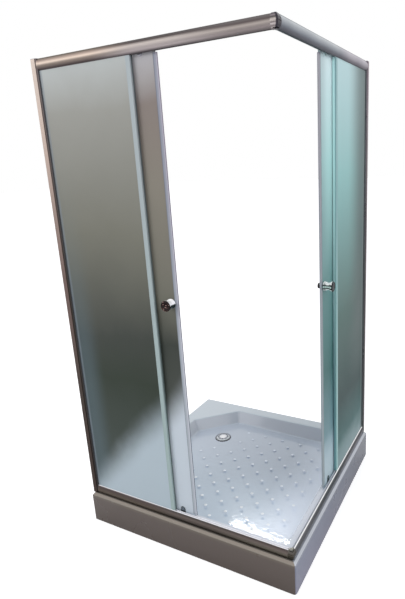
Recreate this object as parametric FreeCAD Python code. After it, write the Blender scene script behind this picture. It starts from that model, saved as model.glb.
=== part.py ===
import FreeCAD, Part
import math
import os

# Square corner-entry shower enclosure on a low tray, in millimetres.
# Origin: middle of the tray's footprint, on the floor. +Z up. The entry corner is at (+X, -Y) and the
# room's corner is at (-X, +Y). Each open side has a fixed pane at its wall end and a door that slides
# behind it. One side is drawn in its own coordinates: u runs along the side from the entry corner to
# the wall, w runs inwards from the tray's edge, z is up. It is then placed twice, as front and as right.

V = FreeCAD.Vector

# ---- overall sizes
tray_side = 1000.0
tray_height = 142.0
frame_height = 1829.0          # from the tray's rim to the top of the top rails

# ---- tray
tray_corner_r = 12.0
tray_wall = 5.0
bevel_width = 10.0
bevel_height = 7.5
lip_width = 8.0
lip_drop = 1.8                 # vertical face under the bevel
basin_rim_entry = 62.0         # rim width under the rails
basin_rim_wall = 69.0          # rim width along the room's walls
shelf_leg = 190.0              # corner shelf, measured along each basin edge
basin_draft = 0.5              # inward run of the basin's wall for each millimetre of depth
basin_entry_r = 90.0
basin_corner_r = 24.0
basin_tighten = 14.0           # how much smaller the basin's corners are at the floor
rim_inner_r = 6.0
floor_fillet_r = 14.0
floor_depth = 62.0             # rim to floor, at the waste
floor_slope = 0.010
waste_from_wall_x = 263.0
waste_from_wall_y = 269.0
waste_recess_r = 45.0
waste_recess = 3.0             # depth of the seat for the waste's flange
waste_boss = 9.0               # floor to the underside of the boss
waste_hole_r = 30.0
skirt_drop = 32.0              # how far the two wall sides turn down below the lip

# ---- support under the tray
board_thick = 18.0
board_inset = 12.0
bar_side = 25.0
bar_wall = 1.5
bar_inset = 80.0               # tray edge to the bars' ends
bar_from_edge = 140.0          # tray edge to the outer bars' middle
foot_from_bar_end = 30.0
stud_r = 5.0
stud_hole_r = 5.3
stud_socket = 9.0              # thread inside the pad's hub
nut_r = 9.8                    # across corners
nut_height = 7.0
pad_r = 21.0
pad_hub_r = 8.5
pad_thick = 7.0

# ---- apron panel
apron_thick = 3.0
apron_inset = 0.5
apron_floor_gap = 3.0
apron_return = 14.0
apron_lip_gap = 0.4
apron_rib = 2.0
clip_width = 24.0
clip_thick = 2.0
clip_grip = 8.0
clip_foot = 18.0

# ---- waste
flange_r = 43.0
flange_thick = 3.4
flange_bore_r = 26.5
flange_tube_r = 28.5
flange_tube = 26.0
gasket_thick = 2.5
trap_r = 46.0
trap_wall = 3.0
trap_low = 13.0
trap_collar = 4.0
outlet_r = 20.0
outlet_wall = 2.0
outlet_length = 45.0
cover_r = 35.0
cover_rise = 6.7
cover_slots = 8
cover_slot = 4.0
cover_slot_in = 17.0           # slots run from here to cover_slot_out, counted from the rim
cover_slot_out = 6.0
cover_leg = 20.0

# ---- rail extrusion, w across and h away from the tray or from the top
rail_h = 40.0
rail_face_w = 19.0
rail_bulge_w = 10.0
rail_wall = 1.8
track_beyond = 10.0            # track's middle to the rail's edge on the room side
seat_h = 22.0                  # seat of the fixed pane
track_h = 27.0                 # track web of the rollers
rib_drop = 3.5                 # rib's depth below the track web
port_h = 9.0
port_r = 1.9
port_wall = 1.5
track_lip = 6.0                # upturned edge of the rail on the room side

# ---- corner joints
joint_beyond = 11.5            # screw port's middle to the end of the joint's arm
joint_proud = 1.0
joint_cap = 2.0
tenon_length = 26.0
joint_wall = 4.0
joint_groove = 2.0

# ---- wall channels and the side profiles nested in them
channel_depth = 20.0
channel_width = 20.0
channel_wall = 1.6
channel_hole_r = 2.75
wall_hole_end = 164.5          # channel end to the first wall screw
profile_mouth = 28.0           # wall to the side profile's mouth
profile_clear = 0.5
profile_web = 13.0             # wall to the side profile's web

# ---- glass
glass = 5.0
fixed_w = 20.0
pane_gap = 10.0                # between the fixed pane and the door
pane_overlap = 25.65           # of the closed door over the fixed pane
fixed_wall_gap = 18.0
fixed_seat_gap = 3.5
door_track_gap = 2.7           # door glass edge beyond the track web
door_width = 541.0             # over both seals
door_corner_r = 4.0

# ---- door seals
nose = 12.0
lip_reach = 8.0
rear_web = 2.0
seal_lip = 1.7
seal_end_gap = 2.5
meet_gap = 0.35
fixed_seal_web = 2.0
fixed_seal_grip = 16.0         # how far the clip reaches over the fixed pane
fixed_seal_lip = 1.2
fin_gap = 2.4                  # fin's tip to the door
fin_thick = 1.4
chamber_wall = 1.2

# ---- rollers
wheel_r = 9.5
groove_depth = 2.5
wheel_width = 6.0
groove_width = 3.0
rib_thick = 2.0
run_gap = 0.3
track_from_glass = 8.0         # inner face of the door to the track's middle
axle_r = 2.5
axle_end_r = 3.7
bore_clear = 0.05
lead_roller = 72.0             # leading edge to the first roller
trail_roller = 94.0            # last roller to the trailing edge
arm_clear = 0.8                # wheel to the arm beside it
arm_thick = 3.5
top_arm_width = 14.0
release_arm_width = 12.0
top_hole_h = 36.0
bottom_hole_h = 48.0
cap_width = 22.0
cap_thick = 2.0
hole_r = 6.0
spigot_r = 5.5
release_travel = 3.2
stop_gap = 0.6
stop_length = 14.0

# ---- knobs
knob_height = 1086.0
knob_from_edge = 34.0
knob_r = 16.0
knob_out = 43.0
knob_in = 16.5                 # short enough for both doors' knobs to meet at the corner
knob_in_r = 11.5
knob_foot_r = 11.8
knob_stud_r = 3.0
knob_hole_r = 4.5

# ---- how the doors stand in the photograph
knob_park = 72.0               # front door's knob to the free edge of the fixed pane
right_pull = 43.0              # how much less far the right door is pushed back

# ---- worked out
half = tray_side / 2
frame_top = tray_height + frame_height
waste_x = -half + waste_from_wall_x
waste_y = half - waste_from_wall_y
floor_z = tray_height - floor_depth
board_bottom = floor_z - board_thick
bar_length = tray_side - 2 * bar_inset
bar_pitch = half - bar_from_edge
foot_pitch_x = bar_length / 2 - foot_from_bar_end
wall_hole_outer = frame_height - 2 * wall_hole_end
wall_hole_inner = wall_hole_outer / 3
port_w = fixed_w + glass / 2
joint_arm = port_w + joint_beyond
channel_w = port_w - channel_width / 2
door_w = fixed_w + glass + pane_gap
roller_pitch = door_width - lead_roller - trail_roller
fin_tip_w = door_w - fin_gap
groove_r = wheel_r - groove_depth
track_centre_w = door_w + glass + track_from_glass
arm_w = track_centre_w + wheel_width / 2 + arm_clear
rail_depth_w = track_centre_w + track_beyond
fixed_low = seat_h + rail_wall + fixed_seat_gap
door_low = track_h + rail_wall + door_track_gap
wheel_h = track_h - rib_drop - run_gap - groove_r
rail_end_u = tray_side - profile_mouth - 0.2
closed_u = door_w - seal_lip + meet_gap
fixed_free_u = closed_u + door_width - pane_overlap
front_open_u = fixed_free_u - knob_park - knob_from_edge
right_open_u = front_open_u - right_pull
trail_open_u = front_open_u + lead_roller + roller_pitch
lead_closed_u = closed_u + lead_roller


def box(x0, x1, y0, y1, z0, z1):
    return Part.makeBox(x1 - x0, y1 - y0, z1 - z0, V(x0, y0, z0))


def rod(radius, start, end):
    axis = end - start
    return Part.makeCylinder(radius, axis.Length, start, axis)


def joined(shapes):
    return shapes[0].multiFuse(shapes[1:]).removeSplitter()


def offset_lines(points, inset):
    # corners of a counter-clockwise polygon whose sides have all moved inwards
    moved = []
    count = len(points)
    for i in range(count):
        before, here, after = points[i - 1], points[i], points[(i + 1) % count]
        a = (here - before).normalize()
        b = (after - here).normalize()
        na, nb = V(-a.y, a.x, 0), V(-b.y, b.x, 0)
        reach = inset / (1 + na.dot(nb))
        moved.append(here + (na + nb) * reach)
    return moved


def rounded_wire(points, radii, z):
    # closed outline with an arc at each corner
    edges = []
    tangents = []
    count = len(points)
    for i in range(count):
        before, here, after = points[i - 1], points[i], points[(i + 1) % count]
        a = (before - here).normalize()
        b = (after - here).normalize()
        half_angle = a.getAngle(b) / 2
        reach = radii[i] / math.tan(half_angle)
        to_mid = (a + b).normalize()
        depth = radii[i] / math.sin(half_angle) - radii[i]
        tangents.append((here + a * reach, here + to_mid * depth, here + b * reach))
    for i in range(count):
        start, middle, end = [V(p.x, p.y, z) for p in tangents[i]]
        edges.append(Part.Arc(start, middle, end).toShape())
        ahead = tangents[(i + 1) % count][0]
        edges.append(Part.makeLine(end, V(ahead.x, ahead.y, z)))
    return Part.Wire(edges)


def loft(low, high):
    return Part.makeLoft([low, high], True, True)


def prism(points, vector):
    return Part.Face(Part.makePolygon(points + [points[0]])).extrude(vector)


def save(name, *shapes):
    whole = shapes[0] if len(shapes) == 1 else Part.makeCompound(list(shapes))
    whole.exportStep(os.path.join("parts", name + ".step"))


def place_front(shape):
    turned = shape.mirror(V(0, 0, 0), V(1, 0, 0))
    turned.translate(V(half, -half, 0))
    return turned


def place_right(shape):
    turned = shape.copy()
    turned.rotate(V(0, 0, 0), V(0, 0, 1), 90)
    turned.translate(V(half, -half, 0))
    return turned


sides = {"front": place_front, "right": place_right}


def save_sides(name, *shapes):
    for side, place in sides.items():
        save(side + "_" + name, *[place(shape) for shape in shapes])


# ---------------------------------------------------------------- tray


def on_waste(z):
    return V(waste_x, waste_y, z)


def basin_corners():
    x0, x1 = -half + basin_rim_wall, half - basin_rim_entry
    y0, y1 = -half + basin_rim_entry, half - basin_rim_wall
    return [
        V(x0, y0, 0),
        V(x1, y0, 0),
        V(x1, y1, 0),
        V(x0 + shelf_leg, y1, 0),
        V(x0, y1 - shelf_leg, 0),
    ]


def basin_radii(change):
    radii = [basin_corner_r] * 5
    radii[1] = basin_entry_r
    return [r - change for r in radii]


def basin_wire(inset, z, change):
    return rounded_wire(offset_lines(basin_corners(), inset), basin_radii(change), z)


def below_floor(drop):
    # everything under the sloping floor, which falls towards the waste at right angles to the shelf
    reach = 2 * tray_side
    block = box(-reach, reach, -reach, reach, -reach, floor_z - drop)
    centre = V(waste_x, waste_y, floor_z - drop)
    block.rotate(centre, V(1, 1, 0), math.degrees(math.atan(floor_slope)))
    return block


def basin_block(shrink, drop):
    low_z = floor_z - 20
    inset = basin_draft * (tray_height - low_z)
    block = loft(basin_wire(inset - shrink, low_z, basin_tighten), basin_wire(-shrink, tray_height, 0))
    return block.cut(below_floor(drop))


def tray_outline(inset, z):
    corner = half - inset
    points = [V(-corner, -corner, 0), V(corner, -corner, 0), V(corner, corner, 0), V(-corner, corner, 0)]
    return rounded_wire(points, [max(tray_corner_r - inset, 1.5)] * 4, z)


def tray_shell():
    lip_top = tray_height - bevel_height
    low = Part.Face(tray_outline(0, lip_top - lip_drop)).extrude(V(0, 0, lip_drop))
    bevel = loft(tray_outline(0, lip_top), tray_outline(bevel_width, tray_height))
    rim = low.fuse(bevel)
    under = Part.Face(tray_outline(lip_width, 0)).extrude(V(0, 0, tray_height - tray_wall))
    rim = rim.cut(under)
    # the two wall sides turn down further, as there is no apron there
    drop_z = lip_top - lip_drop - skirt_drop
    for skirt in (
        box(-half, -half + tray_wall, -half + 30, half - 20, drop_z, lip_top),
        box(-half + 20, half - 30, half - tray_wall, half, drop_z, lip_top),
    ):
        rim = rim.fuse(skirt)
    boss = rod(waste_recess_r + 6, on_waste(floor_z - waste_boss), on_waste(floor_z - 2))
    shell = joined([rim, basin_block(tray_wall, tray_wall), boss])
    cavity = basin_block(0, 0)
    floor_face = min(cavity.Faces, key=lambda face: face.CenterOfMass.z)
    cavity = cavity.makeFillet(floor_fillet_r, floor_face.Edges)
    shell = shell.cut(cavity)
    top_edges = [
        edge
        for edge in shell.Edges
        if abs(edge.BoundBox.ZMin - tray_height) < 0.01
        and abs(edge.BoundBox.ZMax - tray_height) < 0.01
        and max(abs(edge.CenterOfMass.x), abs(edge.CenterOfMass.y)) < half - 1.5 * bevel_width
    ]
    shell = shell.makeFillet(rim_inner_r, top_edges)
    recess = rod(waste_recess_r, on_waste(floor_z - waste_recess), on_waste(tray_height))
    hole = rod(waste_hole_r, on_waste(0), on_waste(tray_height))
    return shell.cut(recess).cut(hole)


def base_board():
    low_inset = basin_draft * floor_depth + board_inset
    board = Part.Face(basin_wire(low_inset, board_bottom, basin_tighten)).extrude(V(0, 0, floor_depth))
    under_tray = below_floor(tray_wall)
    hole = rod(waste_recess_r + 14, on_waste(0), on_waste(tray_height))
    return board.common(under_tray).cut(hole)


def apron():
    top = tray_height - bevel_height - lip_drop - apron_lip_gap
    outer = half - apron_inset

    def plate(inset, z0, z1):
        edge = outer - inset
        far = outer + 50
        points = [V(-far, -edge, 0), V(edge, -edge, 0), V(edge, far, 0), V(-far, far, 0)]
        radii = [1.5, max(tray_corner_r - apron_inset - inset, 1.5), 1.5, 1.5]
        return Part.Face(rounded_wire(points, radii, z0)).extrude(V(0, 0, z1 - z0))

    panel = plate(0, apron_floor_gap, top)
    panel = panel.cut(plate(apron_thick, apron_floor_gap + apron_thick, top - apron_thick))
    panel = panel.cut(plate(apron_return, 0, top + 1))
    limit = box(-outer, outer, -outer, outer, 0, top)
    panel = panel.common(limit)
    ribs = []
    rib_z = (apron_floor_gap + apron_thick, top - apron_thick)
    for i in range(-2, 3):
        near = i * tray_side / 6 - apron_rib / 2
        far = near + apron_rib
        ribs.append(box(near, far, -outer + 1, -outer + apron_return, *rib_z))
        ribs.append(box(outer - apron_return, outer - 1, near, far, *rib_z))
    return joined([panel] + ribs)


def apron_clips():
    # spring clips under the rim that hold the apron's upper return
    return_z = tray_height - bevel_height - lip_drop - apron_lip_gap - apron_thick
    under = tray_height - tray_wall
    clip_w = apron_inset + apron_return + clip_thick
    inner_w = clip_w + clip_thick
    clips = []
    for middle in (-tray_side / 4, tray_side / 12, tray_side / 4):
        near, far = middle - clip_width / 2, middle + clip_width / 2
        hang = box(near, far, clip_w, inner_w, return_z - clip_thick, under)
        tongue = box(near, far, clip_w - clip_grip, inner_w, return_z - clip_thick, return_z)
        foot = box(near, far, clip_w, clip_w + clip_foot, under - clip_thick, under)
        clip = joined([hang, tongue, foot])
        front = clip.copy()
        front.translate(V(0, -half, 0))
        clips.append(front)
        right = clip.mirror(V(0, 0, 0), V(1, 0, 0))
        right.rotate(V(0, 0, 0), V(0, 0, 1), 90)
        right.translate(V(half, 0, 0))
        clips.append(right)
    return clips


def bar_rows():
    return (-bar_pitch, 0.0, bar_pitch)


def feet_places():
    places = [(x, y) for y in (-bar_pitch, bar_pitch) for x in (-foot_pitch_x, foot_pitch_x)]
    return places + [(0.0, 0.0)]


def support_bars():
    bars = []
    low = board_bottom - bar_side
    reach = bar_length / 2
    for y in bar_rows():
        bar = box(-reach, reach, y - bar_side / 2, y + bar_side / 2, low, board_bottom)
        hollow = bar_side / 2 - bar_wall
        bar = bar.cut(box(-reach, reach, y - hollow, y + hollow, low + bar_wall, board_bottom - bar_wall))
        for fx, fy in feet_places():
            if fy == y:
                bar = bar.cut(rod(stud_hole_r, V(fx, fy, low - 1), V(fx, fy, low + bar_wall + 1)))
        bars.append(bar)
    return bars


def hexagon(radius, x, y, z0, z1):
    points = []
    for i in range(6):
        angle = math.radians(60 * i)
        points.append(V(x + radius * math.cos(angle), y + radius * math.sin(angle), z0))
    return prism(points, V(0, 0, z1 - z0))


def feet():
    # a stud stands in each pad's hub and carries its bar on a nut
    low = board_bottom - bar_side
    studs, nuts, pads = [], [], []
    hub = stud_socket
    for x, y in feet_places():
        stud = rod(stud_r, V(x, y, pad_thick), V(x, y, board_bottom - 2 * bar_wall))
        studs.append(stud)
        nuts.append(hexagon(nut_r, x, y, low - nut_height, low).cut(stud))
        foot = rod(pad_r, V(x, y, 0), V(x, y, pad_thick))
        taper = Part.makeCone(pad_r, pad_hub_r, hub, V(x, y, pad_thick), V(0, 0, 1))
        pads.append(foot.fuse(taper).cut(stud))
    return studs, nuts, pads


# ---------------------------------------------------------------- waste


def at_waste(points):
    # solid of revolution about the waste's axis, from radius and height pairs
    outline = [V(waste_x + r, waste_y, z) for r, z in points]
    face = Part.Face(Part.makePolygon(outline + [outline[0]]))
    return face.revolve(V(waste_x, waste_y, 0), V(0, 0, 1), 360)


def waste_flange():
    z = floor_z - waste_recess
    return at_waste([
        (flange_bore_r, z - flange_tube),
        (flange_tube_r, z - flange_tube),
        (flange_tube_r, z),
        (flange_r, z),
        (flange_r - 3, z + flange_thick),
        (flange_bore_r, z + 1),
    ])


def waste_gasket():
    top = floor_z - waste_boss
    return at_waste([
        (waste_hole_r + 1, top - gasket_thick),
        (waste_recess_r, top - gasket_thick),
        (waste_recess_r, top),
        (waste_hole_r + 1, top),
    ])


def waste_trap():
    # cup with a collar that takes the flange's tube, and a side outlet near its floor
    top = floor_z - waste_boss - gasket_thick
    inner = trap_r - trap_wall
    throat = flange_tube_r + 0.2
    cup = at_waste([
        (0, trap_low),
        (trap_r, trap_low),
        (trap_r, top),
        (throat, top),
        (throat, top - 3 * trap_collar),
        (throat + trap_wall, top - 3 * trap_collar),
        (throat + trap_wall, top - trap_collar),
        (inner, top - trap_collar),
        (inner, trap_low + trap_wall),
        (0, trap_low + trap_wall),
    ])
    outlet_z = trap_low + trap_wall + outlet_r
    start = V(waste_x - inner + 1, waste_y, outlet_z)
    end = V(waste_x - trap_r - outlet_length, waste_y, outlet_z)
    pipe = rod(outlet_r, start, end)
    bead = rod(outlet_r + 2, start, V(waste_x - trap_r - 4, waste_y, outlet_z))
    bore = rod(outlet_r - outlet_wall, V(waste_x - inner + 8, waste_y, outlet_z), end + V(-1, 0, 0))
    return joined([cup, pipe, bead]).cut(bore)


def around_waste(shape, angle):
    turned = shape.copy()
    turned.rotate(V(0, 0, 0), V(0, 0, 1), angle)
    turned.translate(V(waste_x, waste_y, 0))
    return turned


def waste_cover():
    # low chromed dome over the bore, slotted round its shoulder, with three guide legs inside the flange
    z = floor_z + 1
    dome = at_waste([
        (0, z + 3),
        (cover_r - 3, z),
        (cover_r, z),
        (cover_r, z + 1.2),
        (cover_r - 10, z + 5),
        (0, z + cover_rise),
    ])
    near, far = cover_r - cover_slot_in, cover_r - cover_slot_out
    slot = box(near, far, -cover_slot / 2, cover_slot / 2, z - 5, z + 12)
    for i in range(cover_slots):
        dome = dome.cut(around_waste(slot, 360 / cover_slots * (i + 0.5)))
    outer, inner = flange_bore_r - 0.5, flange_bore_r - 3
    ring = at_waste([(inner, z - cover_leg), (outer, z - cover_leg), (outer, z + 2), (inner, z + 2)])
    gap = box(0, flange_r, -16, 16, z - cover_leg - 1, z - 1)
    for i in range(3):
        ring = ring.cut(around_waste(gap, 120 * i))
    return joined([dome, ring])


# ---------------------------------------------------------------- frame, in side coordinates


def bow(face_w, bulge_w, low, high):
    # D-shaped outline between a straight back and a bowed front, drawn across the side
    middle = (low + high) / 2
    front = Part.Arc(V(0, face_w, low), V(0, bulge_w, middle), V(0, face_w, high)).toShape()
    back = Part.makeLine(V(0, face_w, high), V(0, face_w, low))
    return Part.Face(Part.Wire([front, back]))


def bow_inside(gap):
    # the hollow behind the bowed front, smaller all round by the wall and a gap
    rise = rail_face_w - rail_bulge_w
    radius = ((rail_h / 2) ** 2 + rise ** 2) / (2 * rise)
    centre_w = rail_bulge_w + radius
    inner_r = radius - rail_wall - gap
    back_w = rail_face_w - rail_wall - gap
    reach = math.sqrt(inner_r ** 2 - (centre_w - back_w) ** 2)
    return bow(back_w, centre_w - inner_r, rail_h / 2 - reach, rail_h / 2 + reach)


def strip(w0, w1, h0, h1, u0, u1):
    return box(u0, u1, w0, w1, h0, h1)


def corner_wedge(top):
    # what a rail gives up at the entry corner: its square end, and the mitre of its track
    far = rail_depth_w + 20
    points = [
        V(-1, -20, -1),
        V(joint_arm, -20, -1),
        V(joint_arm, joint_arm - run_gap, -1),
        V(far + run_gap, far, -1),
        V(-1, far, -1),
    ]
    return prism(points, V(0, 0, top + 2))


def rail():
    # h counts away from the tray for the bottom rail; the top rail is the same extrusion upside down
    u0, u1 = 0.0, rail_end_u
    length = V(u1 - u0, 0, 0)
    shell = bow(rail_face_w, rail_bulge_w, 0, rail_h).extrude(length)
    shell = shell.cut(bow_inside(0).extrude(length))
    inner_w = fixed_w + glass + 1
    rib_low = track_h - rib_drop
    rib = strip(
        track_centre_w - rib_thick / 2, track_centre_w + rib_thick / 2, rib_low, track_h + 1, u0, u1
    )
    tip = [e for e in rib.Edges if e.BoundBox.ZMax < rib_low + 0.01 and e.Length > 50]
    rib = rib.makeFillet(rib_thick * 0.3, tip)
    port = rod(port_r + port_wall, V(u0, port_w, port_h), V(u1, port_w, port_h))
    lug = strip(port_w, inner_w, port_h - 1, port_h + 1, u0, u1)
    web_end = track_centre_w + rib_thick / 2
    pieces = [
        shell,
        strip(rail_face_w - rail_wall, rail_depth_w, 0, rail_wall, u0, u1),
        strip(inner_w, inner_w + rail_wall, 0, rail_h, u0, u1),
        strip(rail_face_w - 0.5, inner_w + 0.5, seat_h, seat_h + rail_wall, u0, u1),
        strip(inner_w, web_end, track_h, track_h + rail_wall, u0, u1),
        strip(rail_depth_w - rail_wall, rail_depth_w, 0, track_lip, u0, u1),
        rib,
        port,
        lug,
    ]
    whole = joined(pieces)
    whole = whole.cut(rod(port_r, V(u0 - 1, port_w, port_h), V(u1 + 1, port_w, port_h)))
    whole = whole.cut(strip(port_w - 3.6, port_w - 1, port_h - 0.8, port_h + 0.8, u0 - 1, u1 + 1))
    return whole.cut(corner_wedge(rail_h))


def as_bottom(shape):
    raised = shape.copy()
    raised.translate(V(0, 0, tray_height))
    return raised


def as_top(shape):
    turned = shape.mirror(V(0, 0, 0), V(0, 0, 1))
    turned.translate(V(0, 0, frame_top))
    return turned


def corner_joint(cap):
    # moulded corner: two mitred arms with grooved fronts and tenons that plug into both rails
    high = rail_h + joint_proud
    back_w = fixed_w + glass + 1 + rail_wall
    length = V(joint_arm, 0, 0)
    front = bow(rail_face_w, rail_bulge_w - joint_proud, -cap, high).extrude(length)
    arm = front.fuse(strip(rail_face_w, back_w, -cap, high, 0, joint_arm))
    hollow = strip(rail_face_w - joint_wall, back_w - 1.6, 2, high - 2, 0, joint_arm - joint_wall - 1)
    arm = arm.cut(hollow)
    for share in (0.3, 0.5, 0.7):
        groove_low = share * rail_h - joint_groove / 2
        arm = arm.cut(strip(0, rail_bulge_w + 0.5, groove_low, groove_low + joint_groove, 0, joint_arm - 3))
    arm = arm.cut(rod(port_r + 0.3, V(0, port_w, port_h), V(joint_arm + 1, port_w, port_h)))
    tenon = bow_inside(0.25).extrude(V(tenon_length + 2, 0, 0))
    tenon.translate(V(joint_arm - 2, 0, 0))
    arm = arm.fuse(tenon)
    # keep what lies on this arm's side of the mitre
    far = 3 * joint_arm
    keep = prism([V(0, 0, -20), V(far, 0, -20), V(far, far, -20)], V(0, 0, rail_h + 40))
    arm = arm.common(keep)
    other = arm.mirror(V(0, 0, 0), V(1, -1, 0))
    return joined([arm, other])


def wall_channel():
    u0, u1 = tray_side - channel_depth, tray_side
    low, high = tray_height, frame_top
    channel = box(u0, u1, channel_w, channel_w + channel_width, low, high)
    channel = channel.cut(
        box(u0 - 1, u1 - 2, channel_w + channel_wall, channel_w + channel_width - channel_wall, low, high)
    )
    middle_w = channel_w + channel_width / 2
    for spacing in (wall_hole_outer, wall_hole_inner):
        for sign in (-1, 1):
            z = (low + high) / 2 + sign * spacing / 2
            channel = channel.cut(rod(channel_hole_r, V(u1 - 4, middle_w, z), V(u1 + 1, middle_w, z)))
    return channel


def side_profile():
    # h section: a pocket for the pane's gasket, a web, and two legs that telescope in the wall channel
    inset = channel_wall + profile_clear
    w0, w1 = channel_w + inset, channel_w + channel_width - inset
    u0, u1 = tray_side - profile_mouth, tray_side - 4
    web = tray_side - profile_web
    profile = box(u0, u1, w0, w1, tray_height, frame_top)
    for a, b in ((u0 - 1, web - channel_wall), (web, u1 + 1)):
        profile = profile.cut(box(a, b, w0 + channel_wall, w1 - channel_wall, tray_height, frame_top))
    for z in (tray_height + port_h, frame_top - port_h):
        profile = profile.cut(rod(port_r + 0.3, V(web - 4, port_w, z), V(web + 2, port_w, z)))
    return profile


def channel_cap():
    u0 = tray_side - profile_mouth
    plate = box(u0, tray_side, channel_w, channel_w + channel_width, frame_top, frame_top + joint_cap)
    plate = plate.makeFillet(0.8, [e for e in plate.Edges if e.BoundBox.ZMin > frame_top + 1])
    inset = channel_wall + profile_clear + channel_wall + 0.2
    web = tray_side - profile_web
    leg = box(web + 0.2, tray_side - 4.5, channel_w + inset, channel_w + channel_width - inset,
              frame_top - 4, frame_top)
    return plate.fuse(leg)


def frame_screw(head_u, length, z):
    # pan-head screw along the side, its head away from the entry corner when length is negative
    sign = 1 if length > 0 else -1
    head = rod(3.6, V(head_u, port_w, z), V(head_u - sign * 2.4, port_w, z))
    shank = rod(port_r - 0.05, V(head_u, port_w, z), V(head_u + length, port_w, z))
    return head.fuse(shank)


def frame_screws():
    screws = []
    for z in (tray_height + port_h, frame_top - port_h):
        wall_end = frame_screw(tray_side - profile_web, -48, z)
        corner_end = frame_screw(joint_arm - joint_wall - 1, 30, z)
        for place in sides.values():
            screws.append(place(wall_end))
            screws.append(place(corner_end))
    return screws


def bump_stops():
    # rubber blocks astride the top rails' track, which end the rollers' run
    stops = []
    web_z = frame_top - track_h
    for face_u, sign in ((trail_open_u + wheel_r + stop_gap, 1), (lead_closed_u - wheel_r - stop_gap, -1)):
        u0, u1 = sorted((face_u, face_u + sign * stop_length))
        block = box(u0, u1, track_centre_w - 4.5, track_centre_w + 3.5, web_z, frame_top - 9)
        block = block.makeFillet(1.5, [e for e in block.Edges if e.BoundBox.ZMin > frame_top - 9.5])
        slot = rib_thick / 2 + 0.1
        block = block.cut(
            box(u0 - 1, u1 + 1, track_centre_w - slot, track_centre_w + slot, web_z - 1, web_z + 3.7)
        )
        for place in sides.values():
            stops.append(place(block))
    return stops


# ---------------------------------------------------------------- fixed panes


def fixed_glass():
    u1 = tray_side - fixed_wall_gap
    return box(fixed_free_u, u1, fixed_w, fixed_w + glass, tray_height + fixed_low, frame_top - fixed_low)


def glazing_gaskets():
    # U-shaped rubber along the bottom, the top and the wall edge of the fixed pane
    low, high = tray_height + fixed_low, frame_top - fixed_low
    u1 = tray_side - fixed_wall_gap
    seat = seat_h + rail_wall
    strips = []
    base = strip(rail_face_w + 0.05, fixed_w + glass + 0.95, seat, rail_h - 1, fixed_free_u, u1 - 12)
    base = base.cut(strip(fixed_w, fixed_w + glass, fixed_low, rail_h, fixed_free_u - 1, u1))
    strips.append(as_bottom(base))
    strips.append(as_top(base))
    inset = channel_wall * 2 + profile_clear
    mouth = tray_side - profile_mouth
    web = tray_side - profile_web - channel_wall
    side = box(mouth - 1.2, web, channel_w + inset, channel_w + channel_width - inset, low + 14, high - 14)
    side = side.makeFillet(1.1, [e for e in side.Edges if e.BoundBox.XMax < mouth - 1 and e.Length > 50])
    side = side.cut(box(mouth - 2, u1, fixed_w, fixed_w + glass, low, high))
    strips.append(side)
    return strips


def fixed_seal():
    # clip-on strip on the pane's free edge, with a soft fin that stands towards the door
    low, high = tray_height + rail_h + 1, frame_top - rail_h - 1
    u0 = fixed_free_u - fixed_seal_web
    u1 = fixed_free_u + fixed_seal_grip
    body = box(u0, u1, fixed_w - fixed_seal_lip, fixed_w + glass + fixed_seal_lip, low, high)
    body = body.cut(box(fixed_free_u, u1 + 1, fixed_w, fixed_w + glass, low, high))
    fin = box(u0, u0 + fin_thick, fixed_w + glass, fin_tip_w, low, high)
    return joined([body, fin])


# ---------------------------------------------------------------- door, leading edge at u = 0


def hole_heights():
    return frame_top - top_hole_h, tray_height + bottom_hole_h


def roller_places():
    return lead_roller, lead_roller + roller_pitch


def door_glass():
    u0, u1 = nose, door_width - rear_web
    low, high = tray_height + door_low, frame_top - door_low
    pane = box(u0, u1, door_w, door_w + glass, low, high)
    corners = [e for e in pane.Edges if abs(e.Length - glass) < 0.01]
    pane = pane.makeFillet(door_corner_r, corners)
    for z in hole_heights():
        for u in roller_places():
            pane = pane.cut(rod(hole_r, V(u, door_w - 1, z), V(u, door_w + glass + 1, z)))
    start = V(knob_from_edge, door_w - 1, knob_height)
    return pane.cut(rod(knob_hole_r, start, start + V(0, glass + 2, 0)))


def seal_heights():
    return tray_height + rail_h + seal_end_gap, frame_top - rail_h - seal_end_gap


def magnet_seal():
    # grips the leading edge; its slanted face meets the other door's on the corner's diagonal
    low, high = seal_heights()
    w0, w1 = door_w - seal_lip, door_w + glass + seal_lip
    reach = nose + lip_reach
    points = [
        V(0, w0, low),
        V(w1 - w0, w1, low),
        V(reach, w1, low),
        V(reach, w1 - seal_lip, low),
        V(nose, w1 - seal_lip, low),
        V(nose, w0 + seal_lip, low),
        V(reach, w0 + seal_lip, low),
        V(reach, w0, low),
    ]
    seal = prism(points, V(0, 0, high - low))
    wall = chamber_wall
    slant = wall * (1 + math.sqrt(2))
    chamber = [
        V(slant, w0 + wall, low),
        V(nose - wall, w0 + wall, low),
        V(nose - wall, w1 - wall, low),
        V(slant + w1 - w0 - 2 * wall, w1 - wall, low),
    ]
    return seal.cut(prism(chamber, V(0, 0, high - low)))


def rear_seal():
    low, high = seal_heights()
    u1 = door_width
    u0 = u1 - rear_web - lip_reach
    w0, w1 = door_w - seal_lip, door_w + glass + seal_lip
    seal = box(u0, u1, w0, w1, low, high)
    return seal.cut(box(u0 - 1, u1 - rear_web, door_w, door_w + glass, low, high))


def turned_knob(length, radius, foot_r):
    # spool turned about the x axis: foot, waist, flared rim and a shallow cone of a face
    waist = radius * 0.58
    profile = [
        V(0, 0, 0),
        V(0, foot_r, 0),
        V(length * 0.1, foot_r, 0),
        V(length * 0.3, waist, 0),
        V(length * 0.62, waist, 0),
        V(length * 0.88, radius, 0),
        V(length * 0.95, radius, 0),
        V(length, 0, 0),
    ]
    return Part.Face(Part.makePolygon(profile + [profile[0]])).revolve(V(0, 0, 0), V(1, 0, 0), 360)


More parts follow.
